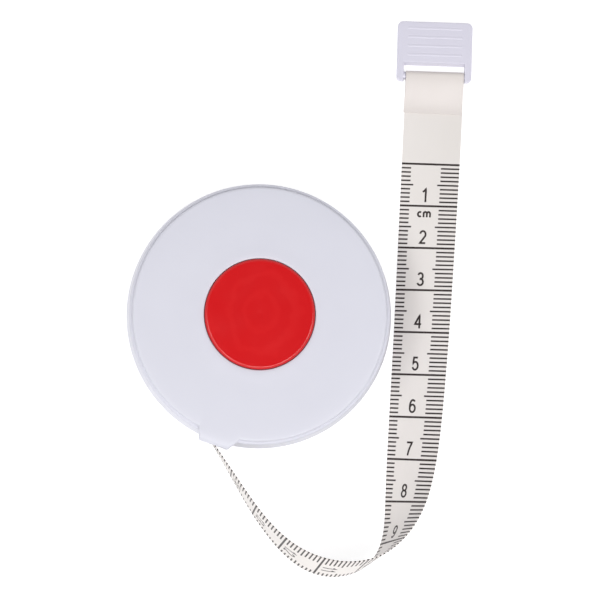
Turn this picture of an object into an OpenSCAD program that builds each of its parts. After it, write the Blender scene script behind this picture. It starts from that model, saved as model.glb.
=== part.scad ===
// Round pocket tape measure with a push-button brake and a spring-return spool.
// The case lies on its back. The origin is the centre of the back face, and +Z points
// out through the button. The tape leaves through the mouth and lies in a loop beside the case.

/* [Case] */
// Outside diameter of the case
case_d = 61.3; // [60.5:0.1:64]
// Thickness from the back face to the front face
case_t = 18.8; // [18.8:0.1:21]
// Thickness of the front, back and rim walls
wall = 1.6; // [1.4:0.1:1.7]
// Diameter of the raised flat front face
face_d = 58.5; // [57.5:0.1:59.5]
// Height of the raised flat face above the rim
face_step = 1.1; // [0.6:0.1:1.3]
// How far the rim wall leans in from the joint to its front and back edges
draft = 0.65; // [0.4:0.05:0.65]
// Bevel of the back edge
back_bevel = 0.8; // [0.3:0.1:1.2]

/* [Mouth] */
// Direction of the mouth lug, anticlockwise from +X
lug_angle = 250.3; // [248:0.1:253]
// Distance of the lug's outer face from the case axis
lug_reach = 31.7; // [31.3:0.1:32.5]
// Width of the slot that the tape runs through
slot_w = 1.2; // [1:0.1:1.6]
// Direction in which the tape leaves, anticlockwise from +X
exit_angle = -58; // [-60:1:-56]

/* [Button] */
// Diameter of the push button
button_d = 25.3; // [24:0.1:25.5]
// Diameter of the hole that the button moves in
button_hole_d = 25.9; // [25.7:0.1:26.3]
// Height of the button above the front face
button_proud = 0.6; // [0.3:0.1:0.9]
// Wall thickness of the button
button_wall = 1.4; // [1:0.1:1.8]

/* [Tape] */
// Width of the tape
tape_w = 13.7; // [13:0.1:13.7]
// Thickness of the tape
tape_t = 0.4; // [0.3:0.05:0.45]
// Outer radius of the wound tape
roll_r = 24.5; // [24:0.1:24.5]

/* [Tab] */
// Width of the end tab
tab_w = 17.7; // [17:0.1:20]
// Length of the end tab
tab_len = 14.2; // [13.5:0.1:16]
// Thickness of the end tab
tab_t = 2; // [1.6:0.1:2.2]
// Number of grip ribs on the end tab
rib_count = 4; // [3:1:4]

/* [Hidden] */
$fn = 64;
eps = 0.01;
// How far a cutter reaches past what it cuts
over = 1;

// Case
case_r = case_d / 2;
face_r = face_d / 2;
inner_r = case_r - wall;
split_z = case_t / 2;
rim_z = case_t - face_step;
front_under = case_t - wall;
lip_h = 1;
lip_t = 0.8;
lip_gap = 0.05;
face_round = 0.6;
arc_steps = 6;
// Extra length that is drawn on the front shell and cut off level with the joint
trim = 2;

// Mouth
// The lug's sides where they leave the face, and the ends of its outer face
lug_root_r = 29.1;
lug_root = [-4.5, 5.2];
lug_tip = [-3.5, 3.3];
slot_low = 2.3;
slot_high = 17.1;
// Where the tape's middle line crosses the lug's outer face
exit_pt = [-10.5, -30];
exit_dir = [cos(exit_angle), sin(exit_angle)];
// Straight tape from the roll to the mouth
inner_run = 20;
// How far the slot's cutter reaches in and out from there
slot_in = 8;
slot_out = 4;

// Post and running fits
post_r = 3.2;
post_flat = 2.5;
post_round_top = 10.9;
post_top = 14.6;
bore_gap = 0.05;
bore_r = post_r + bore_gap;
notch_w = 0.7;
notch_depth = 1.4;
notch_spare = 0.2;

// Spool
washer_t = 0.3;
washer_r = 6;
spool_z = wall + washer_t;
flange_t = 0.8;
flange_r = 27;
drum_r = 21.1;
drum_wall = 1.7;
chamber_r = drum_r - drum_wall;
web_z = 9.2;
web_t = 1;
drum_top = 16.7;
ring_t = 1;
ring_hole_r = 13.9;
retainer_z = 10.4;
retainer_t = 0.5;
retainer_r = 6;
tape_low = 2.8;

// Mainspring, a flat strip wound in a spiral
strip_t = 0.25;
strip_low = 3.1;
strip_high = 8.7;
strip_turns = 9;
strip_steps = 22;
strip_gap = 0.3;
strip_outer_r = chamber_r - strip_gap;
strip_inner_r = post_r + strip_gap;
hook_len = 1.2;

// Button, brake plate and their spring
plate_z = 13.9;
plate_t = 1;
plate_r = 17.4;
pad_in = 14.2;
pad_out = 17.2;
pad_t = 0.75;
key_gap = 0.1;
button_r = button_d / 2;
button_top = case_t + button_proud;
button_low = plate_z + plate_t;
button_round = 0.8;
collar_in = 3.6;
collar_out = 4.8;
peg_r = 0.9;
peg_count = 3;
peg_inset = 0.2;
peg_ring_r = button_r - peg_inset - peg_r;
coil_r = 4.7;
coil_wire_r = 0.25;
coil_turns = 2.75;
coil_steps = 16;
coil_sides = 8;

// Tape's end at the tab
tab_angle = 88.3;
bar_pt = [41.7, 56.9];
bar_r = 0.75;
bar_ahead = 0.3;
wrap_gap = 0.07;
wrap_thin = 0.04;
wrap_t = tape_t - wrap_thin;
wrap_r = bar_r + wrap_gap + wrap_t / 2;
wrap_inset = 0.1;
wrap_stub = 0.6;
floor_gap = 0.1;
bar_z = floor_gap + tape_t / 2 + wrap_r;
flap_len = 8.5;
flap_slope = 4;
flap_step = 1;

// Tab, whose middle lies a little to the left of the tape's
tab_shift = 0.2;
tab_low = 0.3;
tab_back = 1.05;
tab_slot_w = 14.4;
tab_slot_top = 2.8;
tab_corner_r = 1.3;
rib_w = 13.3;
rib_r = 0.45;
rib_pitch = 2.1;
rib_first = 5.3;
rib_sink = 0.3;

// Tape's route: each row is the middle line's X, Y and Z, and the lean of the tape's
// width away from upright, positive when the top edge falls outwards.
ring_step = 8;
mouth_z = 9.6;
tangent_pt = exit_pt - inner_run * exit_dir;
tab_dir = [cos(tab_angle), sin(tab_angle)];
tape_end_z = floor_gap + tape_t / 2;
inside_rows = [for (k = [-1:2]) route_row(tangent_pt + k * ring_step * exit_dir, mouth_z, 0)];
loop_rows = [
    [-8.4, -33.2, 10, -2],
    [-4.2, -40.1, 10.8, -5],
    [0.4, -47.3, 11.7, -8],
    [5.9, -53.6, 12.4, -13],
    [12.6, -57.9, 12.5, -20],
    [20.4, -59.1, 11.7, -17],
    [27.5, -56.9, 9.7, -5],
    [31.9, -51.7, 7.3, 15],
    [34.2, -44.5, 5.7, 37],
    [35.5, -36.5, 4.7, 50],
    [36.4, -28.3, 4.1, 57],
    [37.1, -20.1, 3.7, 61],
    [37.7, -11.9, 3.4, 64],
    [38.3, -3.6, 3.2, 66.5],
    [38.8, 4.7, 3, 69],
    [39.3, 12.9, 2.7, 71.5],
    [39.8, 21.2, 2.4, 74],
    [40.3, 29.5, 2, 77],
    [40.8, 37.7, 1.4, 81],
    [41.2, 44.5, 0.7, 87]
];
end_rows = [for (k = [-1:1]) route_row(bar_pt + k * ring_step * tab_dir, tape_end_z, 90)];
route = concat(inside_rows, loop_rows, end_rows);
rings_per_row = 3;
ring_total = (len(route) - 3) * rings_per_row;

function route_row(p, z, lean) = [p[0], p[1], z, lean];

// A uniform cubic spline through the route's rows, and its direction
function spline_span(u) = min(floor(u), len(route) - 4);
function spline(u) = let (i = spline_span(u), t = u - i, s = 1 - t)
    (pow(s, 3) * route[i] + (3 * pow(t, 3) - 6 * t * t + 4) * route[i + 1]
     + (3 * pow(s, 3) - 6 * s * s + 4) * route[i + 2] + pow(t, 3) * route[i + 3]) / 6;
function heading(u) = let (i = spline_span(u), t = u - i, s = 1 - t,
    d = -s * s * route[i] + (3 * t * t - 4 * t) * route[i + 1]
        - (3 * s * s - 4 * s) * route[i + 2] + t * t * route[i + 3])
    unit([d[0], d[1], d[2]]);
function unit(v) = v / norm(v);

// The four corners of the tape's section at one place on the route
function tape_ring(u) = let (
    row = spline(u),
    mid = [row[0], row[1], row[2]],
    ahead = heading(u),
    up = unit([0, 0, 1] - ahead[2] * ahead),
    out = cross(ahead, up),
    across = (up * cos(row[3]) + out * sin(row[3])) * tape_w / 2,
    face = unit(cross(ahead, across)) * tape_t / 2)
    [mid - across - face, mid + across - face, mid + across + face, mid - across + face];

// Sweeps a closed section of a given number of corners along its rings. The two broad
// faces of a flat section share the direction of their diagonals, so that a twist keeps
// its thickness.
module swept(rings, corners) {
    points = [for (ring = rings) each ring];
    last = (len(rings) - 1) * corners;
    sides = [for (i = [0:len(rings) - 2], k = [0:corners - 1])
        let (a = i * corners + k, b = i * corners + (k + 1) % corners, c = a + corners, d = b + corners)
        each k < corners / 2 ? [[a, d, b], [a, c, d]] : [[a, c, b], [b, c, d]]];
    start_cap = [[for (k = [0:corners - 1]) k]];
    end_cap = [[for (k = [corners - 1:-1:0]) last + k]];
    polyhedron(points, concat(sides, start_cap, end_cap));
}

// Points on a quarter circle, from one angle to another
function arc(centre, r, from, to) = [for (i = [0:arc_steps])
    let (a = from + (to - from) * i / arc_steps) centre + r * [cos(a), sin(a)]];

module ring(inner, outer, low, high) {
    rotate_extrude() translate([inner, low]) square([outer - inner, high - low]);
}

// The lug, which grows out of the rim wall with its outer face square to its direction
module lug(low, high) {
    rotate([0, 0, lug_angle]) translate([0, 0, low]) linear_extrude(high - low)
        polygon([[lug_root_r, lug_root[0]], [lug_reach, lug_tip[0]],
                 [lug_reach, lug_tip[1]], [lug_root_r, lug_root[1]]]);
}

// Slot for the tape through the rim and the lug
module mouth_slot() {
    translate([exit_pt[0], exit_pt[1], 0]) rotate([0, 0, exit_angle])
        translate([-slot_in, -slot_w / 2, slot_low])
        cube([slot_in + slot_out, slot_w, slot_high - slot_low]);
}

// Round post with two flats, oversize by a gap where it is used as a hole
module keyed(gap, low, high) {
    intersection() {
        translate([0, 0, low]) cylinder(r = post_r + gap, h = high - low);
        translate([-case_r, -post_flat - gap, low]) cube([case_d, 2 * (post_flat + gap), high - low]);
    }
}

module front_shell() {
    color("whitesmoke") difference() {
        union() {
            rotate_extrude($fn = 128) polygon(concat(
                [[button_hole_d / 2, front_under], [inner_r, front_under],
                 [inner_r, split_z - trim], [case_r, split_z - trim], [case_r, split_z]],
                arc([case_r - draft - face_round, rim_z - face_round], face_round, 0, 90),
                [[face_r, rim_z]],
                arc([face_r - face_round, case_t - face_round], face_round, 0, 90),
                [[button_hole_d / 2, case_t]]));
            lug(split_z - trim, case_t);
        }
        translate([0, 0, split_z - 2 * trim]) cylinder(r = case_r + 2 * trim, h = 2 * trim);
        ring(inner_r - over, inner_r + lip_t + lip_gap, split_z - over, split_z + lip_h + lip_gap);
        mouth_slot();
    }
}

module back_shell() {
    color("white") difference() {
        union() {
            rotate_extrude($fn = 128) polygon([
                [0, 0], [case_r - draft - back_bevel, 0], [case_r - draft, back_bevel], [case_r, split_z],
                [inner_r + lip_t, split_z], [inner_r + lip_t, split_z + lip_h],
                [inner_r, split_z + lip_h], [inner_r, wall], [post_r, wall],
                [post_r, post_round_top], [0, post_round_top]]);
            keyed(0, post_round_top - eps, post_top);
            lug(0, split_z);
        }
        mouth_slot();
        translate([post_r - notch_depth, -notch_w / 2, strip_low - notch_spare])
            cube([notch_depth + eps, notch_w, strip_high - strip_low + 2 * notch_spare]);
    }
}

module thrust_washer() {
    color("ivory") ring(bore_r, washer_r, wall, wall + washer_t);
}

module spool_retainer() {
    color("silver") ring(post_r, retainer_r, retainer_z, retainer_z + retainer_t);
}

module button_spring() {
    low = retainer_z + retainer_t + coil_wire_r;
    high = plate_z - coil_wire_r;
    count = coil_turns * coil_steps;
    color("silver") swept([for (i = [0:count])
        let (turn = 360 * i / coil_steps, z = low + (high - low) * i / count)
        [for (k = [0:coil_sides - 1]) let (a = -360 * k / coil_sides, r = coil_r + coil_wire_r * cos(a))
            [r * cos(turn), r * sin(turn), z + coil_wire_r * sin(a)]]], coil_sides);
}

module spool_drum() {
    color("gainsboro") rotate_extrude($fn = 96) polygon([
        [chamber_r, spool_z], [flange_r, spool_z], [flange_r, spool_z + flange_t],
        [drum_r, spool_z + flange_t], [drum_r, drum_top], [chamber_r, drum_top],
        [chamber_r, web_z + web_t], [bore_r, web_z + web_t], [bore_r, web_z], [chamber_r, web_z]]);
}

module spool_cover() {
    color("lightgray") ring(bore_r, chamber_r, spool_z, spool_z + flange_t);
}

module brake_ring() {
    color("lightgray") ring(ring_hole_r, chamber_r, drum_top - ring_t, drum_top);
}

// Spiral strip, its inner end bent into the post's notch
function strip_r(i) = strip_inner_r
    + (strip_outer_r - strip_inner_r) * sqrt(i / (strip_turns * strip_steps));
function strip_point(i, side) = let (a = 360 * i / strip_steps)
    (strip_r(i) + side * strip_t / 2) * [cos(a), sin(a)];
module mainspring() {
    count = strip_turns * strip_steps;
    color("slategray") translate([0, 0, strip_low]) linear_extrude(strip_high - strip_low) {
        polygon(concat([for (i = [0:count]) strip_point(i, 1)],
                       [for (i = [count:-1:0]) strip_point(i, -1)]));
        translate([strip_inner_r - hook_len, -strip_t / 2]) square([hook_len, strip_t]);
    }
}

module tape_roll() {
    color("floralwhite") ring(drum_r, roll_r, tape_low, tape_low + tape_w);
}

module push_button() {
    color("crimson") union() {
        rotate_extrude($fn = 96) polygon(concat(
            [[button_r - button_wall, button_low], [button_r, button_low]],
            arc([button_r - button_round, button_top - button_round], button_round, 0, 90),
            [[0, button_top], [0, button_top - button_wall],
             [collar_in, button_top - button_wall], [collar_in, button_low],
             [collar_out, button_low], [collar_out, button_top - button_wall],
             [button_r - button_wall, button_top - button_wall]]));
        for (i = [0:peg_count - 1]) rotate([0, 0, 360 * i / peg_count])
            translate([peg_ring_r, 0, plate_z]) cylinder(r = peg_r, h = plate_t + eps);
    }
}

module brake_plate() {
    color("dimgray") difference() {
        translate([0, 0, plate_z]) cylinder(r = plate_r, h = plate_t);
        keyed(key_gap, plate_z - over, plate_z + plate_t + over);
        for (i = [0:peg_count - 1]) rotate([0, 0, 360 * i / peg_count])
            translate([peg_ring_r, 0, plate_z - over]) cylinder(r = peg_r, h = plate_t + 2 * over);
    }
}

module brake_pad() {
    color("darkslategray") ring(pad_in, pad_out, button_low, button_low + pad_t);
}

// The tape's end, wrapped round the bar and laid back on the tape as a flap
module tape_wrap() {
    centre = [bar_ahead, bar_z];
    lay_z = tape_end_z + tape_t;
    translate([bar_pt[0], bar_pt[1], 0]) rotate([0, 0, tab_angle]) rotate([90, 0, 0])
        linear_extrude(tape_w - wrap_inset, center = true) polygon(concat(
            arc(centre, wrap_r + wrap_t / 2, -90, 90),
            [[-flap_slope, lay_z + wrap_t / 2], [-flap_len, lay_z + wrap_t / 2],
             [-flap_len, lay_z - tape_t], [-flap_slope - flap_step, lay_z - tape_t]],
            arc(centre, wrap_r - wrap_t / 2, 90, -90),
            [[-wrap_stub, bar_z - wrap_r + wrap_t / 2], [-wrap_stub, bar_z - wrap_r - wrap_t / 2]]));
}

module tape_blade() {
    color("floralwhite") union() {
        swept([for (i = [0:ring_total]) tape_ring(i / rings_per_row)], 4);
        tape_wrap();
    }
}

// A rectangle with round corners, drawn from its lower left corner
module rounded_rect(w, h, r) {
    translate([r, 0]) square([w - 2 * r, h]);
    translate([0, r]) square([w, h - 2 * r]);
    for (x = [r, w - r], y = [r, h - r]) translate([x, y]) circle(r = r, $fn = 32);
}

module end_tab() {
    color("lavender") translate([bar_pt[0] - tab_shift, bar_pt[1], 0]) rotate([0, 0, tab_angle - 90]) {
        difference() {
            translate([-tab_w / 2, -tab_back, tab_low]) linear_extrude(tab_t)
                rounded_rect(tab_w, tab_len, tab_corner_r);
            translate([-tab_slot_w / 2, -tab_back - over, tab_low - over])
                cube([tab_slot_w, tab_back + tab_slot_top + over, tab_t + 2 * over]);
        }
        translate([-tab_slot_w / 2 - eps, bar_ahead, bar_z]) rotate([0, 90, 0])
            cylinder(r = bar_r, h = tab_slot_w + 2 * eps);
        for (i = [0:rib_count - 1])
            translate([-rib_w / 2, rib_first + i * rib_pitch, tab_low + tab_t - rib_sink])
                rotate([0, 90, 0]) cylinder(r = rib_r, h = rib_w);
    }
}

front_shell();
back_shell();
thrust_washer();
spool_retainer();
button_spring();
spool_drum();
spool_cover();
brake_ring();
mainspring();
tape_roll();
push_button();
brake_plate();
brake_pad();
tape_blade();
end_tab();
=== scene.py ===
import math

import bmesh
import bpy
import numpy as np
from mathutils import Matrix, Vector


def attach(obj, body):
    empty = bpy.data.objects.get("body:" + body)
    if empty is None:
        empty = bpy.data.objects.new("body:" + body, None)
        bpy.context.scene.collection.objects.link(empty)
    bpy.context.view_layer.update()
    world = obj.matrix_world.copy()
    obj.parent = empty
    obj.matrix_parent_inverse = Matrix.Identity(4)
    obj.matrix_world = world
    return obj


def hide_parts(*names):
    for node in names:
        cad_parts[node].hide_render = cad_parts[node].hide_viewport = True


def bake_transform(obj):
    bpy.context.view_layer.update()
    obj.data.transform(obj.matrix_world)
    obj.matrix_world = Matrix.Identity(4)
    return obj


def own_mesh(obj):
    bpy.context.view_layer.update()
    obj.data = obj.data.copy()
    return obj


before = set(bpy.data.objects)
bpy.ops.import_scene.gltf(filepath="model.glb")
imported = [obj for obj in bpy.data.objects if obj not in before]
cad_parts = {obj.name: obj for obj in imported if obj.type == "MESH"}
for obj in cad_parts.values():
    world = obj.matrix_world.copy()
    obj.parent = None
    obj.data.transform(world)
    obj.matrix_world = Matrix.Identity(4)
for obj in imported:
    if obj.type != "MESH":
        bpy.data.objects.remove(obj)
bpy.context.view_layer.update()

MM = 0.001
scene = bpy.context.scene


# ---------------------------------------------------------------- camera

CAMERA_AT = Vector((-0.0142, -0.0321, 0.6917))
CAMERA_AIM = Vector((0.00986, 0.00425, 0))
CAMERA_LENS = 176.33
SENSOR_W = 36


def make_camera():
    """A long lens high over the mouth side, with the tab at the top of the frame."""
    data = bpy.data.cameras.new("camera")
    data.lens = CAMERA_LENS
    data.sensor_width = SENSOR_W
    data.clip_start = 0.01
    data.clip_end = 10
    camera = bpy.data.objects.new("camera", data)
    scene.collection.objects.link(camera)
    ahead = (CAMERA_AIM - CAMERA_AT).normalized()
    right = ahead.cross(Vector((0, 1, 0))).normalized()
    up = right.cross(ahead)
    turn = Matrix((right, up, -ahead)).transposed().to_4x4()
    camera.matrix_world = Matrix.Translation(CAMERA_AT) @ turn
    scene.camera = camera


make_camera()


# ---------------------------------------------------------------- materials


class Shader:
    """A Principled material with short helpers for its procedural nodes."""

    def __init__(self, name, colour, roughness):
        self.material = bpy.data.materials.new(name)
        self.material.use_nodes = True
        self.tree = self.material.node_tree
        self.surface = self.tree.nodes["Principled BSDF"]
        self.colour = (*colour, 1)
        self.surface.inputs["Base Color"].default_value = self.colour
        self.surface.inputs["Roughness"].default_value = roughness
        self.place = self.node("ShaderNodeTexCoord").outputs["Object"]
        self.normal = None

    def node(self, kind, **values):
        made = self.tree.nodes.new(kind)
        for key, value in values.items():
            setattr(made, key, value)
        return made

    def link(self, a, b):
        self.tree.links.new(a, b)

    def noise(self, scale, detail=3, distortion=0, stretch=(1, 1, 1)):
        """Cloudy noise from 0 to 1, scale in features per metre."""
        mapping = self.node("ShaderNodeMapping")
        mapping.inputs["Scale"].default_value = stretch
        self.link(self.place, mapping.inputs["Vector"])
        noise = self.node("ShaderNodeTexNoise")
        noise.inputs["Scale"].default_value = scale
        noise.inputs["Detail"].default_value = detail
        noise.inputs["Distortion"].default_value = distortion
        self.link(mapping.outputs["Vector"], noise.inputs["Vector"])
        return noise.outputs["Fac"]

    def band(self, value, low, high, to_low=0, to_high=1):
        """Maps value from low..high to to_low..to_high, clamped."""
        ramp = self.node("ShaderNodeMapRange")
        self.link(value, ramp.inputs["Value"])
        for key, number in (
            ("From Min", low), ("From Max", high), ("To Min", to_low), ("To Max", to_high),
        ):
            ramp.inputs[key].default_value = number
        return ramp.outputs["Result"]

    def tint(self, amount, colour):
        """Mixes the base colour towards another by an amount from 0 to 1."""
        mix = self.node("ShaderNodeMix", data_type="RGBA")
        base = self.surface.inputs["Base Color"]
        if base.is_linked:
            self.link(base.links[0].from_socket, mix.inputs["A"])
        else:
            mix.inputs["A"].default_value = self.colour
        mix.inputs["B"].default_value = (*colour, 1)
        self.link(amount, mix.inputs["Factor"])
        self.link(mix.outputs["Result"], base)

    def rough(self, value, low, high):
        self.link(self.band(value, 0.3, 0.7, low, high), self.surface.inputs["Roughness"])

    def bump(self, height, depth, strength=1):
        """Adds relief of a depth in metres to what is there already."""
        bump = self.node("ShaderNodeBump")
        bump.inputs["Distance"].default_value = depth
        bump.inputs["Strength"].default_value = strength
        self.link(height, bump.inputs["Height"])
        if self.normal is not None:
            self.link(self.normal, bump.inputs["Normal"])
        self.normal = bump.outputs["Normal"]
        self.link(self.normal, self.surface.inputs["Normal"])


def moulded(name, colour, roughness, dark):
    """Satin moulded plastic: faint clouding, fine grain and a few rubbed patches."""
    s = Shader(name, colour, roughness)
    s.tint(s.band(s.noise(55, 4), 0.35, 0.75, 0, 0.35), dark)
    s.rough(s.noise(160, 5), roughness - 0.04, roughness + 0.06)
    s.bump(s.noise(5200, 2), 0.000003)
    s.bump(s.noise(90, 2), 0.00002)
    s.surface.inputs["IOR"].default_value = 1.49
    return s


def case_plastic():
    s = moulded("case_plastic", (0.612, 0.612, 0.682), 0.4, (0.59, 0.59, 0.662))
    # long hairline scuffs from pockets and tables
    s.bump(s.band(s.noise(420, 2, 0.4, (1, 0.07, 1)), 0.62, 0.7), 0.000004)
    return s.material


def red_plastic():
    s = moulded("red_plastic", (0.585, 0.0085, 0.011), 0.17, (0.5, 0.006, 0.0085))
    # flow marks that curl away from the gate in the middle
    wave = s.node("ShaderNodeTexWave", wave_type="RINGS", rings_direction="Z")
    wave.inputs["Scale"].default_value = 60
    wave.inputs["Distortion"].default_value = 9
    wave.inputs["Detail"].default_value = 3
    wave.inputs["Detail Scale"].default_value = 1.4
    s.link(s.place, wave.inputs["Vector"])
    s.bump(wave.outputs["Fac"], 0.000006)
    s.tint(s.band(wave.outputs["Fac"], 0.6, 1, 0, 0.1), (0.75, 0.03, 0.03))
    return s.material


def tab_plastic():
    return moulded("tab_plastic", (0.645, 0.63, 0.725), 0.34, (0.625, 0.61, 0.705)).material


def tape_vinyl(name, colour, dark):
    """Vinyl over glass cloth: warp and weft show as a faint even relief, laid along the
    tape by the place that each mesh carries."""
    s = Shader(name, colour, 0.5)
    s.place = s.node("ShaderNodeAttribute", attribute_name=PLACE).outputs["Vector"]
    s.tint(s.band(s.noise(60, 4), 0.35, 0.75, 0, 0.5), dark)
    s.tint(s.band(s.noise(900, 3, 0, (0.12, 1, 1)), 0.5, 0.75, 0, 0.2), dark)
    s.rough(s.noise(240, 3), 0.44, 0.56)
    for direction in ("X", "Y"):
        thread = s.node("ShaderNodeTexWave", wave_type="BANDS", bands_direction=direction)
        thread.inputs["Scale"].default_value = THREADS / WAVES_AT_SCALE_1
        thread.inputs["Distortion"].default_value = 0.4
        s.link(s.place, thread.inputs["Vector"])
        s.bump(thread.outputs["Fac"], 0.000004, 0.5)
    s.bump(s.noise(2600, 3), 0.000003)
    return s.material


def tape_ink():
    s = Shader("tape_ink", (0.021, 0.012, 0.011), 0.5)
    s.tint(s.band(s.noise(3800, 4), 0.55, 0.75, 0, 0.35), (0.11, 0.08, 0.072))
    s.rough(s.noise(900, 3), 0.44, 0.58)
    s.bump(s.noise(2600, 3), 0.000003)
    return s.material


def plain_plastic(name, colour, dark):
    return moulded(name, colour, 0.55, dark).material


def steel():
    s = Shader("spring_steel", (0.56, 0.57, 0.6), 0.3)
    s.surface.inputs["Metallic"].default_value = 1
    s.rough(s.noise(2400, 2, 0, (1, 1, 0.05)), 0.22, 0.4)
    s.tint(s.band(s.noise(300, 3), 0.55, 0.75, 0, 0.4), (0.36, 0.35, 0.35))
    s.bump(s.noise(3000, 2, 0, (1, 1, 0.05)), 0.000003)
    return s.material


def rubber():
    s = Shader("pad_rubber", (0.03, 0.03, 0.032), 0.8)
    s.tint(s.band(s.noise(600, 4), 0.45, 0.7, 0, 0.5), (0.07, 0.065, 0.06))
    s.rough(s.noise(500, 3), 0.72, 0.9)
    s.bump(s.noise(2200, 4), 0.00002)
    return s.material


# The mesh attribute that holds a point's place on the tape, threads per metre, and how
# many waves per metre the wave texture draws at a scale of 1
PLACE = "tape_place"
THREADS = 2600
WAVES_AT_SCALE_1 = 3.2

CASE = case_plastic()
RED = red_plastic()
TAB = tab_plastic()
TAPE = tape_vinyl("tape_vinyl", (0.742, 0.705, 0.68), (0.715, 0.675, 0.645))
FLAP = tape_vinyl("tape_flap", (0.705, 0.655, 0.632), (0.68, 0.63, 0.605))
INK = tape_ink()
STEEL = steel()
NODE_LOOKS = {
    "spool_drum": plain_plastic("drum_plastic", (0.72, 0.72, 0.72), (0.6, 0.6, 0.6)),
    "spool_cover": plain_plastic("cover_plastic", (0.62, 0.62, 0.63), (0.5, 0.5, 0.51)),
    "brake_ring": plain_plastic("ring_plastic", (0.62, 0.62, 0.63), (0.5, 0.5, 0.51)),
    "brake_plate": plain_plastic("brake_plastic", (0.12, 0.12, 0.13), (0.08, 0.08, 0.08)),
    "thrust_washer": plain_plastic("nylon", (0.8, 0.77, 0.68), (0.7, 0.66, 0.56)),
    "brake_pad": rubber(),
    "spool_retainer": STEEL,
    "mainspring": STEEL,
    "tape_roll": plain_plastic("wound_tape", (0.8, 0.76, 0.73), (0.74, 0.7, 0.66)),
}


# ---------------------------------------------------------------- mesh helpers


def new_object(name, points, faces, materials, smooth_angle=35):
    """A mesh object, smooth except along edges that turn by more than the angle."""
    mesh = bpy.data.meshes.new(name)
    mesh.from_pydata([tuple(p) for p in points], [], faces)
    mesh.validate()
    obj = bpy.data.objects.new(name, mesh)
    scene.collection.objects.link(obj)
    for material in materials:
        mesh.materials.append(material)
    soften(obj, smooth_angle)
    return obj


def soften(obj, smooth_angle):
    shape = bmesh.new()
    shape.from_mesh(obj.data)
    bmesh.ops.recalc_face_normals(shape, faces=shape.faces)
    for face in shape.faces:
        face.smooth = True
    limit = math.radians(smooth_angle)
    for edge in shape.edges:
        edge.smooth = len(edge.link_faces) == 2 and edge.calc_face_angle(0) < limit
    shape.to_mesh(obj.data)
    shape.free()


def fillet(r, z, radius, start, end, steps=8):
    """Points of an arc about (r, z) in a lathe profile, in millimetres and degrees."""
    angles = [math.radians(start + (end - start) * i / steps) for i in range(steps + 1)]
    return [(r + radius * math.cos(a), z + radius * math.sin(a)) for a in angles]


def even_angles(count):
    return [360 * i / count for i in range(count)]


def lathe(name, profile, angles, materials, reach=None, smooth_angle=35):
    """Turns a profile about the Z axis. A closed profile has no point on the axis; an
    open one starts and ends on it. reach(angle, index, r, z) may move a point out."""
    on_axis = profile[0][0] == 0
    ring = profile[1:-1] if on_axis else profile
    points, faces = [], []
    for angle in angles:
        a = math.radians(angle)
        for index, (r, z) in enumerate(ring):
            if reach is not None:
                r, z = reach(angle, index, r, z)
            points.append((r * math.cos(a) * MM, r * math.sin(a) * MM, z * MM))
    size, turns = len(ring), len(angles)
    for i in range(turns):
        here, there = i * size, (i + 1) % turns * size
        for k in range(size - 1 if on_axis else size):
            m = (k + 1) % size
            faces.append((here + k, here + m, there + m, there + k))
    if on_axis:
        for end, k in ((profile[0], 0), (profile[-1], size - 1)):
            pole = len(points)
            points.append((0, 0, end[1] * MM))
            faces += [(pole, i * size + k, (i + 1) % turns * size + k) for i in range(turns)]
    return new_object(name, points, faces, materials, smooth_angle)


def cut(obj, tool):
    """Takes the tool's solid away from the object and deletes the tool."""
    modifier = obj.modifiers.new("cut", "BOOLEAN")
    modifier.operation = "DIFFERENCE"
    modifier.solver = "EXACT"
    modifier.object = tool
    bpy.context.view_layer.update()
    result = obj.evaluated_get(bpy.context.evaluated_depsgraph_get())
    mesh = bpy.data.meshes.new_from_object(result)
    obj.modifiers.clear()
    obj.data = mesh
    bpy.data.objects.remove(tool)


def box_points(low, high):
    """The eight corners and six faces of a box."""
    points = [(x, y, z) for z in (low[2], high[2]) for y in (low[1], high[1]) for x in (low[0], high[0])]
    faces = [(0, 2, 3, 1), (4, 5, 7, 6), (0, 1, 5, 4), (2, 6, 7, 3), (0, 4, 6, 2), (1, 3, 7, 5)]
    return points, faces


def join(name, parts):
    """Joins objects into the first, under a new name."""
    with bpy.context.temp_override(active_object=parts[0], selected_editable_objects=parts):
        bpy.ops.object.join()
    parts[0].name = name
    return parts[0]


# ---------------------------------------------------------------- tape route

# The same rows as the CAD model's: X, Y and Z of the tape's middle line and the lean of
# its width away from upright, in millimetres and degrees.
EXIT_PT = np.array((-10.5, -30))
EXIT_ANGLE = math.radians(-58)
EXIT_DIR = np.array((math.cos(EXIT_ANGLE), math.sin(EXIT_ANGLE)))
INNER_RUN = 20
RING_STEP = 8
MOUTH_Z = 9.6
TAB_ANGLE = math.radians(88.3)
TAB_DIR = np.array((math.cos(TAB_ANGLE), math.sin(TAB_ANGLE)))
BAR_PT = np.array((41.7, 56.9))
TAPE_W = 13.7
TAPE_T = 0.26
TAPE_END_Z = 0.3
LOOP_ROWS = [
    (-8.4, -33.2, 10, -2),
    (-4.2, -40.1, 10.8, -5),
    (0.4, -47.3, 11.7, -8),
    (5.9, -53.6, 12.4, -13),
    (12.6, -57.9, 12.5, -20),
    (20.4, -59.1, 11.7, -17),
    (27.5, -56.9, 9.7, -5),
    (31.9, -51.7, 7.3, 15),
    (34.2, -44.5, 5.7, 37),
    (35.5, -36.5, 4.7, 50),
    (36.4, -28.3, 4.1, 57),
    (37.1, -20.1, 3.7, 61),
    (37.7, -11.9, 3.4, 64),
    (38.3, -3.6, 3.2, 66.5),
    (38.8, 4.7, 3, 69),
    (39.3, 12.9, 2.7, 71.5),
    (39.8, 21.2, 2.4, 74),
    (40.3, 29.5, 2, 77),
    (40.8, 37.7, 1.4, 81),
    (41.2, 44.5, 0.7, 87),
]
TANGENT_PT = EXIT_PT - INNER_RUN * EXIT_DIR
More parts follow.
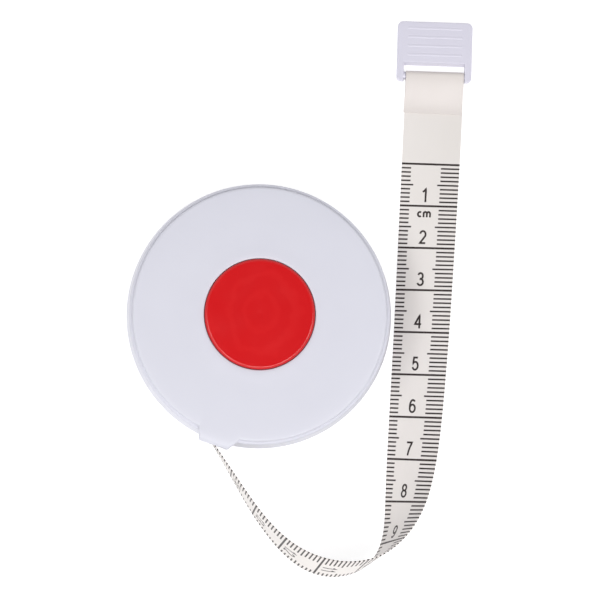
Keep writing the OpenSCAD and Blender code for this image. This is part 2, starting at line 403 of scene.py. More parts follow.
INSIDE_ROWS = [(*(TANGENT_PT + k * RING_STEP * EXIT_DIR), MOUTH_Z, 0) for k in (-1, 0, 1, 2)]
END_ROWS = [(*(BAR_PT + k * RING_STEP * TAB_DIR), TAPE_END_Z, 90) for k in (-1, 0, 1)]
ROUTE = np.array(INSIDE_ROWS + LOOP_ROWS + END_ROWS)


def unit(v):
    return v / np.linalg.norm(v, axis=-1, keepdims=True)


def spline(u):
    """Rows of the uniform cubic spline through ROUTE, and their rates of change."""
    i = np.clip(np.floor(u).astype(int), 0, len(ROUTE) - 4)
    t = (u - i)[:, None]
    s = 1 - t
    a, b, c, d = (ROUTE[i + k] for k in range(4))
    rows = (s**3 * a + (3 * t**3 - 6 * t**2 + 4) * b + (3 * s**3 - 6 * s**2 + 4) * c + t**3 * d) / 6
    rates = (-s**2 * a + (3 * t**2 - 4 * t) * b - (3 * s**2 - 4 * s) * c + t**2 * d) / 2
    return rows, rates


TABLE_STEPS = 4000
TABLE_U = np.linspace(0, len(ROUTE) - 3, TABLE_STEPS)
TABLE_LONG = np.concatenate(
    ([0], np.cumsum(np.linalg.norm(np.diff(spline(TABLE_U)[0][:, :3], axis=0), axis=1)))
)
TAPE_LONG = TABLE_LONG[-1]


def tape_frames(distances):
    """Middle, direction, width direction and front normal of the tape at each distance
    in millimetres from the wound roll."""
    u = np.interp(np.asarray(distances, float), TABLE_LONG, TABLE_U)
    rows, rates = spline(u)
    ahead = unit(rates[:, :3])
    upright = unit(np.array((0, 0, 1)) - ahead[:, 2:3] * ahead)
    outward = np.cross(ahead, upright)
    lean = np.radians(rows[:, 3:4])
    across = upright * np.cos(lean) + outward * np.sin(lean)
    return rows[:, :3], ahead, across, np.cross(across, ahead)


# The printed lines aren't quite square to the tape: how far on a line has run at the
# edge with the long lines, against its distance from the roll
SLANT_AT = (30, 75, 124, 158)
SLANT = (0, 0.2, 0.2, 0)


def on_tape(distances, acrosses, heights):
    """Points in metres at places on the tape: along, across from the middle, and above
    the middle of its thickness towards the printed front."""
    acrosses, heights = np.asarray(acrosses), np.asarray(heights)
    slant = np.interp(distances, SLANT_AT, SLANT) * (acrosses / TAPE_W + 0.5)
    middle, _, across, front = tape_frames(distances + slant)
    return (middle + across * acrosses[:, None] + front * heights[:, None]) * MM


# ---------------------------------------------------------------- tape blade

# Distance of the zero line from the wound roll, and how far the tape comes out: the
# roll's mean radius times the spool's turn. The stretch inside the case carries the rest
# of the scale, packed close, so that it opens out to true centimetres when pulled out.
ZERO_AT = 167.75
PULL = 22.8 * math.radians(3400)
BORDER = INNER_RUN + PULL
SCALE_LONG = 1500
LINE_T = 0.48
TICK_T = 0.38
# How far in from its edge a millimetre line and a 5 mm line reach, on the short side and
# on the long side
SHORT_TICK = (2.27, 2.96)
LONG_TICK = (4.35, 5.04)
LEADER_STEP = 1.5
EDGE_ANGLE = 50
COLUMNS = (-TAPE_W / 2, SHORT_TICK[0] - TAPE_W / 2, SHORT_TICK[1] - TAPE_W / 2,
           TAPE_W / 2 - LONG_TICK[1], TAPE_W / 2 - LONG_TICK[0], TAPE_W / 2)

PACK_T = np.linspace(0, 1, 20001)
PACK_OUT = INNER_RUN * PACK_T + PULL * PACK_T**2 * (3 - 2 * PACK_T)


def packed(distance):
    """Where a point lies now that is at a distance from the roll when pulled right out."""
    inside = np.interp(distance, PACK_OUT, PACK_T) * INNER_RUN
    return np.where(distance < BORDER, inside, distance - PULL)


def inked_columns(millimetre):
    """The columns across the tape that a line at this millimetre fills."""
    if millimetre % 10 == 0:
        return {0, 1, 2, 3, 4}
    if millimetre % 5 == 0:
        return {0, 1, 3, 4}
    return {0, 4}


def tape_rows():
    """Row distances from the roll when the tape is pulled right out, and for each strip
    between rows the columns that are inked."""
    zero = ZERO_AT + PULL
    rows, inked = [0.0], []
    for millimetre in range(SCALE_LONG, -1, -1):
        half = (LINE_T if millimetre % 10 == 0 else TICK_T) / 2
        middle = zero - millimetre
        rows += [middle - half, middle + half]
        inked += [set(), inked_columns(millimetre)]
    leader = np.arange(rows[-1] + LEADER_STEP, TAPE_LONG + PULL, LEADER_STEP)
    rows += [*leader, TAPE_LONG + PULL]
    inked += [set()] * (len(leader) + 1)
    return np.array(rows), inked


def mark_places(obj, along, across):
    """Stores each point's place on the tape for the weave, in metres."""
    layer = obj.data.attributes.new(PLACE, "FLOAT_VECTOR", "POINT")
    place = np.stack([along, across, np.zeros(len(along))], axis=1) * MM
    layer.data.foreach_set("vector", place.ravel())


def make_strip(name, rows, inked):
    """A length of the tape as one closed solid, with its lines inked on both faces."""
    distances = packed(rows)
    count, width = len(distances), len(COLUMNS)
    section = [(c, TAPE_T / 2) for c in COLUMNS] + [(c, -TAPE_T / 2) for c in reversed(COLUMNS)]
    size = len(section)
    points = np.concatenate([
        on_tape(distances, np.full(count, c), np.full(count, h))[:, None] for c, h in section
    ], axis=1).reshape(-1, 3)
    # the column that each side face belongs to: front, one edge, back, the other edge
    columns = [*range(width - 1), width - 2, *reversed(range(width - 1)), 0]
    faces, inks = [], []
    for i in range(count - 1):
        for k, column in enumerate(columns):
            m = (k + 1) % size
            faces.append((i * size + k, i * size + m, (i + 1) * size + m, (i + 1) * size + k))
            inks.append(column in inked[i])
    faces += [tuple(range(size)), tuple((count - 1) * size + k for k in reversed(range(size)))]
    inks += [False, False]
    mesh = bpy.data.meshes.new(name)
    mesh.from_pydata(points.tolist(), [], faces)
    strip = bpy.data.objects.new(name, mesh)
    scene.collection.objects.link(strip)
    mesh.materials.append(TAPE)
    mesh.materials.append(INK)
    mesh.polygons.foreach_set("material_index", [int(i) for i in inks])
    soften(strip, EDGE_ANGLE)
    mark_places(strip, np.repeat(rows, size), np.tile([c for c, _ in section], count))
    return strip


def make_strips():
    """The tape inside the case, and the tape outside. The real tape slides out at the mouth; the inside
    piece here is not made to move.
    """
    rows, inked = tape_rows()
    cut_at = int(np.searchsorted(rows, BORDER))
    inside = make_strip("tape_feed", np.append(rows[:cut_at], BORDER), inked[:cut_at])
    outside = make_strip("tape_strip", np.insert(rows[cut_at:], 0, BORDER), inked[cut_at - 1:])
    return inside, outside


# ---------------------------------------------------------------- printed numbers

DIGIT_W = 1.35
DIGIT_H = 2.87
STROKE = 0.45
DIGIT_GAP = 0.82
NUMBER_MIDDLE = 5.9 - TAPE_W / 2
NUMBER_DROP = 1.16
UNIT_AT = 12.68
UNIT_W = 3.36
UNIT_H = 1.28
UNIT_PEN = 0.44
SMALL_C_W = 0.92
SMALL_M_W = 1.54
LOOP_STEP = 0.35
STRAIGHT_STEP = 5
INK_PROUD = 0.012
INK_SINK = 0.06
FRONT, BACK = 1, -1


def bow(cx, cy, rx, ry, start, end, steps=14):
    """Points along an ellipse, in parts of a digit's width and height."""
    angles = [math.radians(start + (end - start) * i / steps) for i in range(steps + 1)]
    return [(cx + rx * math.cos(a), cy + ry * math.sin(a)) for a in angles]


DIGITS = {
    "0": [bow(0.5, 0.5, 0.5, 0.5, 90, 450, 24)],
    "1": [[(0.08, 0.76), (0.4, 0.87), (0.62, 1.03), (0.62, -0.08)]],
    "2": [bow(0.5, 0.72, 0.48, 0.28, 170, -32) + [(0.45, 0.27), (0.02, 0), (1, 0)]],
    "3": [bow(0.48, 0.755, 0.42, 0.245, 160, -85) + bow(0.48, 0.265, 0.5, 0.265, 85, -162)],
    "4": [[(0.76, -0.08), (0.76, 1.01), (-0.04, 0.27), (1.08, 0.27)]],
    "5": [[(0.9, 1), (0.2, 1), (0.08, 0.47)] + bow(0.48, 0.325, 0.5, 0.325, 135, -160)],
    "6": [bow(0.5, 0.78, 0.43, 0.22, 25, 90, 5) + bow(0.5, 0.5, 0.5, 0.5, 100, 180, 8)
          + bow(0.5, 0.31, 0.5, 0.31, 180, 530, 22)],
    "7": [[(0, 1), (1, 1), (0.62, 0.55), (0.42, 0.25), (0.32, -0.07)]],
    "8": [bow(0.5, 0.76, 0.41, 0.24, 90, 450, 20), bow(0.5, 0.265, 0.5, 0.265, 90, 450, 20)],
    "9": [bow(0.5, 0.22, 0.43, 0.22, 205, 270, 5) + bow(0.5, 0.5, 0.5, 0.5, 280, 360, 8)
          + bow(0.5, 0.69, 0.5, 0.31, 0, 350, 22)],
}
SMALL_C = [bow(0.5, 0.55, 0.5, 0.42, 50, 310)]
SMALL_M = [[(0, 0), (0, 1)], bow(0.25, 0.6, 0.25, 0.4, 180, 0, 8) + [(0.5, 0)],
           bow(0.75, 0.6, 0.25, 0.4, 180, 0, 8) + [(1, 0)]]


def subdivided(line, longest):
    """Adds points to a line so that no step is longer than this."""
    points = [line[0]]
    for a, b in zip(line[:-1], line[1:]):
        steps = max(1, math.ceil(np.linalg.norm(b - a) / longest))
        points += [a + (b - a) * i / steps for i in range(1, steps + 1)]
    return np.array(points)


class Print:
    """Collects pen strokes on the tape's faces as thin closed solids."""

    def __init__(self, longest):
        self.longest = longest
        self.places, self.faces = [], []

    def stroke(self, line, pen, face):
        """line holds (along, across) in millimetres. along is from the wound roll, and is
        below zero on tape that still has to come off it."""
        line = subdivided(np.array(line), self.longest)
        step = unit(np.diff(line, axis=0))
        side = np.stack([-step[:, 1], step[:, 0]], axis=1)
        normal = unit(np.concatenate([side[:1], side[:-1] + side[1:], side[-1:]]))
        stretch = np.ones(len(line))
        stretch[1:-1] = 1 / np.clip((normal[1:-1] * side[1:]).sum(axis=1), 0.6, 1)
        offset = normal * stretch[:, None] * pen / 2
        low, high = TAPE_T / 2 - INK_SINK, TAPE_T / 2 + INK_PROUD
        first = len(self.places)
        for point, out in zip(line, offset):
            for edge, height in ((1, high), (-1, high), (-1, low), (1, low)):
                self.places.append((*(point + edge * out), face * height))
        for i in range(len(line) - 1):
            for k in range(4):
                a, b = first + 4 * i + k, first + 4 * i + (k + 1) % 4
                self.faces.append((a, b, b + 4, a + 4))
        last = first + 4 * (len(line) - 1)
        self.faces += [(first + 3, first + 2, first + 1, first), (last, last + 1, last + 2, last + 3)]

    def glyph(self, strokes, left, base, width, height, pen, face):
        """left is across the tape from its middle in reading order, base along it."""
        for stroke in strokes:
            self.stroke([(base + y * height, face * (left + x * width)) for x, y in stroke], pen, face)

    def number(self, value, face):
        """A number stands just before its line, with its top towards the zero."""
        text = str(value)
        pitch = DIGIT_W + DIGIT_GAP
        left = face * NUMBER_MIDDLE - (pitch * len(text) - DIGIT_GAP) / 2
        base = ZERO_AT - 10 * value + NUMBER_DROP
        for place, digit in enumerate(text):
            self.glyph(DIGITS[digit], left + place * pitch, base, DIGIT_W, DIGIT_H, STROKE, face)

    def make(self, name):
        along, across, height = np.array(self.places).T
        points = on_tape(packed(along + PULL), across, height)
        return new_object(name, points, self.faces, [INK], 30)


LAST_OUT = int((ZERO_AT - INNER_RUN) // 10)


def make_feed_numbers():
    """The numbers on the tape inside the case."""
    ink = Print(STRAIGHT_STEP)
    for face in (FRONT, BACK):
        for value in range(LAST_OUT + 1, SCALE_LONG // 10 + 1):
            ink.number(value, face)
    return ink.make("feed_numbers")


def make_numbers():
    ink = Print(LOOP_STEP)
    for face in (FRONT, BACK):
        for value in range(1, LAST_OUT + 1):
            ink.number(value, face)
        # the unit's name stands just after the first line
        base, middle = ZERO_AT - UNIT_AT, face * NUMBER_MIDDLE
        edge = (UNIT_W - UNIT_PEN) / 2
        ink.glyph(SMALL_C, middle - edge, base, SMALL_C_W, UNIT_H, UNIT_PEN, face)
        ink.glyph(SMALL_M, middle + edge - SMALL_M_W, base, SMALL_M_W, UNIT_H, UNIT_PEN, face)
    return ink.make("tape_numbers")


# ---------------------------------------------------------------- flap and tab

BAR_R = 0.75
BAR_AHEAD = 0.3
BAR_Z = 1.3
WRAP_T = 0.34
WRAP_GAP = 0.08
FLAP_LONG = 8.5
FLAP_SLOPE = 8
FLAP_SHIFT = 0.1
FLAP_TURN = 0.012
FLAP_GAP = 0.01
FLAP_HALF_W = TAPE_W / 2 + 0.04
FLAP_CORNER = 0.1
WRAP_STUB = 0.4
WRAP_STEPS = 16
FLAP_STEPS = 30


def make_flap():
    """The tape's end: round the bar and back over the tape, lying flat on it."""
    end, _, across, _ = (value[0] for value in tape_frames([TAPE_LONG]))
    ahead = np.array((*TAB_DIR, 0))
    radius = BAR_R + WRAP_GAP + WRAP_T / 2
    centre = np.array((end[0], end[1], BAR_Z)) + ahead * BAR_AHEAD
    middles = [end - ahead * WRAP_STUB]
    normals, widths = [np.array((0, 0, -1))], [across]
    for i in range(WRAP_STEPS + 1):
        a = math.radians(-90 + 180 * i / WRAP_STEPS)
        out = ahead * math.cos(a) + np.array((0, 0, math.sin(a)))
        middles.append(centre + radius * out)
        normals.append(out)
        widths.append(across)
    lie = (TAPE_T + WRAP_T) / 2 + FLAP_GAP
    top = BAR_Z + radius - TAPE_END_Z
    for i in range(1, FLAP_STEPS + 1):
        back = FLAP_LONG * i / FLAP_STEPS
        fall = min(1, back / FLAP_SLOPE)
        height = lie + (top - lie) * (1 - fall) ** 2 * (1 + 2 * fall)
        middle, _, width, front = (value[0] for value in tape_frames([TAPE_LONG - back]))
        drift = (FLAP_SHIFT + FLAP_TURN * back) * fall
        middles.append(middle + front * height - width * drift)
        normals.append(front)
        widths.append(width)
    half_w, half_t, corner = FLAP_HALF_W, WRAP_T / 2, FLAP_CORNER
    section = [(-half_w, 0), (-half_w + corner, half_t), (0, half_t), (half_w - corner, half_t),
               (half_w, 0), (half_w - corner, -half_t), (0, -half_t), (-half_w + corner, -half_t)]
    points = [(m + w * x + n * z) * MM
              for m, n, w in zip(middles, normals, widths) for x, z in section]
    flap = new_object("tape_flap", points, sweep_faces(len(middles), len(section)), [FLAP], 30)
    travel = np.cumsum([0, *(np.linalg.norm(b - a) for a, b in zip(middles[:-1], middles[1:]))])
    mark_places(flap, np.repeat(travel, len(section)), np.tile([x for x, _ in section], len(middles)))
    return flap


TAB_SHIFT = 0.2
TAB_HALF_W = 8.85
TAB_LOW = 0.3
TAB_HIGH = 2.3
TAB_FOOT = -1.05
TAB_TOP = 13.15
TAB_CORNER = 1.25
ARM_CORNER = 1.0
SLOT_HALF_W = 7.2
SLOT_TOP = 2.8
SLOT_SLOPE = 0.65
# Rounding of the top edge and, drawn in less, of the bottom edge
EDGE_ROUND = 0.3
FOOT_ROUND = 0.18
TOP_STEPS = 6
FOOT_STEPS = 5
# How much stouter the bar is beside the tape, and how far out from the tape's middle
BOSS = 1.3
BOSS_FROM = TAPE_W / 2 + 0.1
RIB_HALF_L = 6.65
RIB_FIRST = 5.3
RIB_PITCH = 2.1
RIB_COUNT = 4
RIB_HALF_W = 0.44
RIB_HIGH = 0.06
RIB_FOOT = 0.15
BAR_SINK = 0.4
BAR_SIDES = 28


def corner_points(x, y, radius, start, inset, steps=8):
    """A quarter circle whose square corner is at (x, y), moved inwards by an inset."""
    a = math.radians(start + 45)
    cx, cy = x - radius * math.copysign(1, math.cos(a)), y - radius * math.copysign(1, math.sin(a))
    angles = [math.radians(start + 90 * i / steps) for i in range(steps + 1)]
    small = radius - inset
    return [(cx + small * math.cos(t), cy + small * math.sin(t)) for t in angles]


def tab_outline(inset, slope):
    """The tab in plan, anticlockwise, open at the bar between its two arms. The slot's
    top edge lies back by a slope."""
    half, slot, foot = TAB_HALF_W, SLOT_HALF_W + inset, TAB_FOOT + inset
    outline = corner_points(half, TAB_FOOT, ARM_CORNER, 270, inset)
    outline += corner_points(half, TAB_TOP, TAB_CORNER, 0, inset)
    outline += corner_points(-half, TAB_TOP, TAB_CORNER, 90, inset)
    outline += corner_points(-half, TAB_FOOT, ARM_CORNER, 180, inset)
    top = SLOT_TOP + slope + inset
    outline += [(-slot, foot), (-slot, top), (slot, top), (slot, foot)]
    return outline


def make_plate():
    """The plate is a stack of outlines, drawn in at the rounded top and bottom edges."""
    levels = []
    for i in range(FOOT_STEPS + 1):
        a = math.radians(90 - 90 * i / FOOT_STEPS)
        levels.append((FOOT_ROUND * (1 - math.cos(a)), TAB_LOW + FOOT_ROUND * (1 - math.sin(a))))
    for i in range(TOP_STEPS + 1):
        a = math.radians(90 * i / TOP_STEPS)
        levels.append((EDGE_ROUND * (1 - math.cos(a)), TAB_HIGH - EDGE_ROUND * (1 - math.sin(a))))
    points = []
    for inset, z in levels:
        rise = (z - TAB_LOW) / (TAB_HIGH - TAB_LOW)
        points += [(x * MM, y * MM, z * MM) for x, y in tab_outline(inset, SLOT_SLOPE * rise)]
    size = len(tab_outline(0, 0))
    return new_object("tab_plate", points, sweep_faces(len(levels), size), [TAB], 40)


def sweep_faces(rings, size):
    """Faces of a closed sweep: the sides between rings of points, and both ends."""
    faces = [(i * size + k, i * size + (k + 1) % size, (i + 1) * size + (k + 1) % size, (i + 1) * size + k)
             for i in range(rings - 1) for k in range(size)]
    last = (rings - 1) * size
    return faces + [tuple(range(size)), tuple(last + k for k in reversed(range(size)))]


def make_bar():
    """The round rod between the arms that the tape runs round, stouter beside the tape."""
    foot, left, right = SLOT_HALF_W + BAR_SINK, TAB_SHIFT - BOSS_FROM, TAB_SHIFT + BOSS_FROM
    step = 0.04
    ends = [(-foot, BOSS), (left - step, BOSS), (left, 1), (right, 1), (right + step, BOSS), (foot, BOSS)]
    angles = [math.radians(a) for a in even_angles(BAR_SIDES)]
    ring = [(BAR_R * math.cos(a), BAR_R * math.sin(a)) for a in angles]
    points = [(x * MM, (BAR_AHEAD + y * k) * MM, (BAR_Z + z * k) * MM) for x, k in ends for y, z in ring]
    return new_object("tab_bar", points, sweep_faces(len(ends), len(ring)), [TAB], 40)


def make_rib(y):
    """A low grip rib: a flattened half round with round ends, its foot in the plate."""
    points = []
    turns, rise = 24, 5
    straight = RIB_HALF_L - RIB_HALF_W
    for j in range(rise + 1):
        a = math.radians(90 * j / (rise + 0.6))
        reach, z = RIB_HALF_W * math.cos(a), TAB_HIGH - RIB_FOOT + (RIB_HIGH + RIB_FOOT) * math.sin(a)
        for i in range(turns):
            t = 2 * math.pi * (i + 0.5) / turns
            x = reach * math.cos(t) + math.copysign(straight, math.cos(t))
            points.append((x * MM, (y + reach * math.sin(t)) * MM, z * MM))
    return new_object("tab_rib", points, sweep_faces(rise + 1, turns), [TAB], 60)


def make_tab():
    ribs = [make_rib(RIB_FIRST + i * RIB_PITCH) for i in range(RIB_COUNT)]
    tab = join("tab_buckle", [make_plate(), make_bar(), *ribs])
    place = Matrix.Translation(Vector((BAR_PT[0] - TAB_SHIFT, BAR_PT[1], 0)) * MM)
    tab.data.transform(place @ Matrix.Rotation(TAB_ANGLE - math.pi / 2, 4, "Z"))
    soften(tab, 40)
    return tab


feed, strip = make_strips()
feed_numbers = make_feed_numbers()
numbers = make_numbers()
flap = make_flap()
tab = make_tab()

for piece in (feed, feed_numbers):
    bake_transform(piece)
for piece in (strip, numbers, flap):
    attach(piece, "tape_end")
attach(tab, "tab")
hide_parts("tape_blade")
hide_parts("end_tab")


# ---------------------------------------------------------------- case and button

CASE_R = 30.75
DRAFT = 0.75
CASE_T = 18.8
SPLIT_Z = 9.4
INNER_R = 29.05
FRONT_UNDER = 17.2
FACE_R = 29.25
FACE_ROUND = 0.55
FACE_EDGE_DROP = 0.14
RIM_Z = 17.7
RIM_ROUND = 0.6
BACK_ROUND = 0.8
HOLE_R = 12.82
HOLE_ROUND = 0.2
LIP_R = 29.85
LIP_H = 1
LIP_GAP = 0.05
SEAM = 0.12
FLOOR_T = 1.6
LUG_ANGLE = 250.3
# The lug's outline in its own frame: out from the axis, and anticlockwise across
LUG_OUTLINE = [(29.05, -4.46), (31.35, -3.56), (31.75, -3.45), (31.72, 3.36), (31.6, 3.6), (29.05, 5.3)]
# The face rolls off by this much over this length at the lug's end, and starts to run
# out towards the lug at this radius
LUG_DROP = 0.34
LUG_DROP_LONG = 1.8
LUG_BLEND_R = 18.5
SLOT_T = 1.2
SLOT_LOW = 2.3
SLOT_HIGH = 17.1
SLOT_IN = 8
SLOT_OUT = 4
POST_R = 3.2
POST_TOP = 14.6
POST_EDGE = 0.2
GATE = [(0, 0.15), (0.9, 0.15), (1.1, 0)]
CASE_STEPS = 288
# Rings across the front face: radius and how far the face lies below or above flat
FACE_RINGS = [
    (13.15, 0.035), (13.6, 0.06), (14.2, 0.06), (14.8, 0.045), (15.4, 0.015), (16.2, 0), (18.5, 0), (21, 0),
    (23.5, 0), (25.5, -0.01), (26.8, -0.035), (27.8, -0.075), (28.4, -0.11),
]


def lug_offset(angle):
    """Degrees from the lug's middle direction to this one, anticlockwise."""
    return (angle - LUG_ANGLE + 180) % 360 - 180


def lug_radius(angle):
    """Distance of the lug's outline from the axis in a direction, or 0 beside it."""
    slope = math.tan(math.radians(max(-60, min(60, lug_offset(angle)))))
    for (x0, y0), (x1, y1) in zip(LUG_OUTLINE[:-1], LUG_OUTLINE[1:]):
        if y0 / x0 <= slope <= y1 / x1:
            t = (slope * x0 - y0) / ((y1 - y0) - slope * (x1 - x0))
            return (x0 + t * (x1 - x0)) * math.hypot(1, slope)
    return 0


def case_angles():
    """Even steps, closer along the lug and with one at each corner of its outline."""
    corners = [math.degrees(math.atan2(y, x)) for x, y in LUG_OUTLINE]
    kept = {LUG_ANGLE + c for c in corners}
    kept |= {LUG_ANGLE + corners[0] - 0.04, LUG_ANGLE + corners[-1] + 0.04}
    fine = [LUG_ANGLE + o / 4 for o in range(-44, 49)]
    close = 0.12
    kept |= {a for a in fine if all(abs(a - e) > close for e in kept)}
    even = [a for a in even_angles(CASE_STEPS) if all(abs(a - e) > close for e in kept)]
    return sorted([*kept, *even])


def mouth_tool():
    """The solid that cuts the slot for the tape through the rim and the lug."""
    points, faces = box_points((-SLOT_IN, -SLOT_T / 2, SLOT_LOW), (SLOT_OUT, SLOT_T / 2, SLOT_HIGH))
    turn = Matrix.Translation((EXIT_PT[0], EXIT_PT[1], 0)) @ Matrix.Rotation(EXIT_ANGLE, 4, "Z")
    return new_object("mouth_tool", [turn @ Vector(p) * MM for p in points], faces, [CASE])


def make_front():
    rim = fillet(CASE_R - DRAFT - RIM_ROUND, RIM_Z - RIM_ROUND, RIM_ROUND, 0, 90)
    edge_z = CASE_T - FACE_EDGE_DROP - FACE_ROUND
    face = fillet(FACE_R - FACE_ROUND, edge_z, FACE_ROUND, 0, 84)
    crown = [(r, CASE_T + lift) for r, lift in reversed(FACE_RINGS)]
    hole = fillet(HOLE_R + HOLE_ROUND, CASE_T - HOLE_ROUND, HOLE_ROUND, 90, 180, 5)
    base = [
        (HOLE_R, FRONT_UNDER), (INNER_R, FRONT_UNDER), (INNER_R, SPLIT_Z + LIP_H + LIP_GAP),
        (LIP_R + LIP_GAP, SPLIT_Z + LIP_H + LIP_GAP), (LIP_R + LIP_GAP, SPLIT_Z),
    ]
    outer = [(CASE_R - SEAM, SPLIT_Z), (CASE_R, SPLIT_Z + SEAM)] + rim + [(FACE_R, RIM_Z)]
    profile = base + outer + face + crown + hole
    first, step = len(base), len(base) + len(outer) - 1

    def reach(angle, index, r, z):
        lug = lug_radius(angle)
        if not lug or index < first or r < LUG_BLEND_R and index > step:
            return r, z
        if index < step:
            return max(r, lug - (SEAM if index == first else 0)), z
        # the face runs out over the lug and rolls off towards its end
        share = (r - LUG_BLEND_R) / (FACE_R - LUG_BLEND_R)
        out = r + (lug - FACE_R) * share if lug > FACE_R else r
        fall = max(0, min(1, (out - (LUG_OUTLINE[2][0] - LUG_DROP_LONG)) / LUG_DROP_LONG))
        return out, z - LUG_DROP * fall * fall

    front = lathe("front_cover", profile, case_angles(), [CASE], reach)
    cut(front, mouth_tool())
    soften(front, 32)
    return front


def make_back():
    corner = fillet(CASE_R - DRAFT - BACK_ROUND, BACK_ROUND, BACK_ROUND, 270, 360)
    profile = GATE + corner + [
        (CASE_R, SPLIT_Z - SEAM), (CASE_R - SEAM, SPLIT_Z), (LIP_R, SPLIT_Z), (LIP_R, SPLIT_Z + LIP_H),
        (INNER_R, SPLIT_Z + LIP_H), (INNER_R, FLOOR_T), (POST_R, FLOOR_T),
        (POST_R, POST_TOP - POST_EDGE), (POST_R - POST_EDGE, POST_TOP), (0, POST_TOP),
    ]
    outer = range(len(GATE) - 1, len(GATE) + len(corner) + 1)

    def reach(angle, index, r, z):
        lug = lug_radius(angle)
        if not lug or index not in outer:
            return r, z
        edge = CASE_R if z > BACK_ROUND else CASE_R - DRAFT
        return max(r, r + lug - edge), z

    back = lathe("back_cover", profile, case_angles(), [CASE], reach)
    cut(back, mouth_tool())
    soften(back, 35)
    return back


BUTTON_R = 12.7
BUTTON_TOP = 19.4
BUTTON_LOW = 14.9
BUTTON_ROUND = 0.75
BUTTON_UNDER = 18
BUTTON_INNER_R = 11.25
COLLAR_OUT = 4.8
COLLAR_IN = 3.6
# Radius and depth of rings across the gate's dimple, and radii across the flat top
DIMPLE = [(0, 0.1), (0.3, 0.09), (0.65, 0.05), (1, 0.015)]
FLAT_RINGS = [1.35, 4, 8, 11]


def make_button():
    dimple = [(r, BUTTON_TOP - depth) for r, depth in DIMPLE]
    flat = [(r, BUTTON_TOP) for r in FLAT_RINGS]
    round_r, round_z = BUTTON_R - BUTTON_ROUND, BUTTON_TOP - BUTTON_ROUND
    edge = list(reversed(fillet(round_r, round_z, BUTTON_ROUND, 0, 90, 12)))
    inside = [
        (BUTTON_R, BUTTON_LOW), (BUTTON_INNER_R, BUTTON_LOW), (BUTTON_INNER_R, BUTTON_UNDER),
        (COLLAR_OUT, BUTTON_UNDER), (COLLAR_OUT, BUTTON_LOW), (COLLAR_IN, BUTTON_LOW),
        (COLLAR_IN, BUTTON_UNDER), (0, BUTTON_UNDER),
    ]
    return lathe("button_cap", dimple + flat + edge + inside, even_angles(192), [RED])


COIL_R = 4.7
COIL_WIRE_R = 0.25
COIL_TURNS = 2.75
COIL_LOW = 10.9
COIL_HIGH = 13.9
COIL_STEPS = 32
COIL_SIDES = 12


def make_coil():
    """The spring under the brake plate, in one fixed shape; the real one flattens as the button goes down.
    """
    count = int(COIL_TURNS * COIL_STEPS)
    points = []
    for i in range(count + 1):
        turn = 2 * math.pi * i / COIL_STEPS
        middle = COIL_LOW + COIL_WIRE_R + (COIL_HIGH - COIL_LOW - 2 * COIL_WIRE_R) * i / count
        for angle in even_angles(COIL_SIDES):
            a = math.radians(angle)
            r, z = COIL_R + COIL_WIRE_R * math.cos(a), middle + COIL_WIRE_R * math.sin(a)
            points.append((r * math.cos(turn) * MM, r * math.sin(turn) * MM, z * MM))
    return new_object("button_coil", points, sweep_faces(count + 1, COIL_SIDES), [STEEL], 50)


front = make_front()
back = make_back()
button = make_button()
coil = make_coil()
for piece, body, node, finish in (
    (front, "case", "front_shell", "case_plastic"),
    (back, "case", "back_shell", "case_plastic"),
    (button, "button", "push_button", "red_plastic"),
    (coil, "case", "button_spring", "spring_steel"),
):
    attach(piece, body)
    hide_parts(node)
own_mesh(coil)

for node, look in NODE_LOOKS.items():
    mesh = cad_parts[node].data
    mesh.materials.clear()
    mesh.materials.append(look)


# ---------------------------------------------------------------- floor and light


FLOOR_HALF = 40
FLOOR_GLOW = 0.72


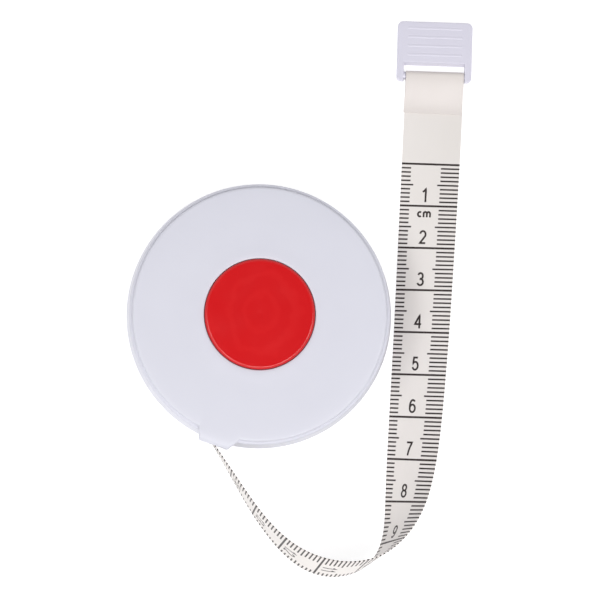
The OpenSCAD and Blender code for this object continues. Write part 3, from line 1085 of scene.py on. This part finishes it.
def make_floor():
    s = Shader("floor", (0.5, 0.5, 0.505), 0.8)
    s.tint(s.band(s.noise(3, 2), 0.4, 0.7, 0, 0.3), (0.48, 0.48, 0.49))
    s.surface.inputs["Specular IOR Level"].default_value = 0.1
    s.surface.inputs["Emission Color"].default_value = (1, 1, 1, 1)
    s.surface.inputs["Emission Strength"].default_value = FLOOR_GLOW
    points = [(-FLOOR_HALF, -FLOOR_HALF, 0), (FLOOR_HALF, -FLOOR_HALF, 0),
              (FLOOR_HALF, FLOOR_HALF, 0), (-FLOOR_HALF, FLOOR_HALF, 0)]
    floor = new_object("floor", points, [(0, 1, 2, 3)], [s.material])


def area_light(name, place, size, power):
    data = bpy.data.lights.new(name, "AREA")
    data.shape = "DISK"
    data.size = size
    data.energy = power
    light = bpy.data.objects.new(name, data)
    light.location = place
    light.rotation_mode = "QUATERNION"
    light.rotation_quaternion = (-Vector(place)).to_track_quat("-Z", "Y")
    scene.collection.objects.link(light)


# Soft boxes: distance, tilt from overhead, size, then azimuth in degrees and power
BOX_AWAY = 0.7
BOX_TILT = math.radians(29)
BOX_SIZE = 0.2
BOXES = ((195, 0.7), (235, 0.7), (272, 1.0), (308, 0.7), (345, 0.6))
# The world's strength all round and overhead, and the heights between which it changes
SKY_ROUND = 0.6
SKY_OVERHEAD = 0.1
SKY_FROM = 0.85
SKY_TO = 0.95


def make_light():
    """A bright room with a dark patch straight overhead, and an arc of soft boxes."""
    world = bpy.data.worlds.new("studio")
    world.use_nodes = True
    tree = world.node_tree
    background = tree.nodes["Background"]
    place = tree.nodes.new("ShaderNodeTexCoord")
    split = tree.nodes.new("ShaderNodeSeparateXYZ")
    ramp = tree.nodes.new("ShaderNodeMapRange")
    ramp.interpolation_type = "SMOOTHSTEP"
    tree.links.new(place.outputs["Generated"], split.inputs["Vector"])
    tree.links.new(split.outputs["Z"], ramp.inputs["Value"])
    for key, number in (
        ("From Min", SKY_FROM), ("From Max", SKY_TO), ("To Min", SKY_ROUND), ("To Max", SKY_OVERHEAD),
    ):
        ramp.inputs[key].default_value = number
    tree.links.new(ramp.outputs["Result"], background.inputs["Strength"])
    background.inputs["Color"].default_value = (1, 1, 1, 1)
    scene.world = world
    for index, (azimuth, power) in enumerate(BOXES):
        a = math.radians(azimuth)
        flat = BOX_AWAY * math.sin(BOX_TILT)
        place = (flat * math.cos(a), flat * math.sin(a), BOX_AWAY * math.cos(BOX_TILT))
        area_light(f"soft_box_{index}", place, BOX_SIZE, power)
    scene.view_settings.view_transform = "Standard"


make_floor()
make_light()
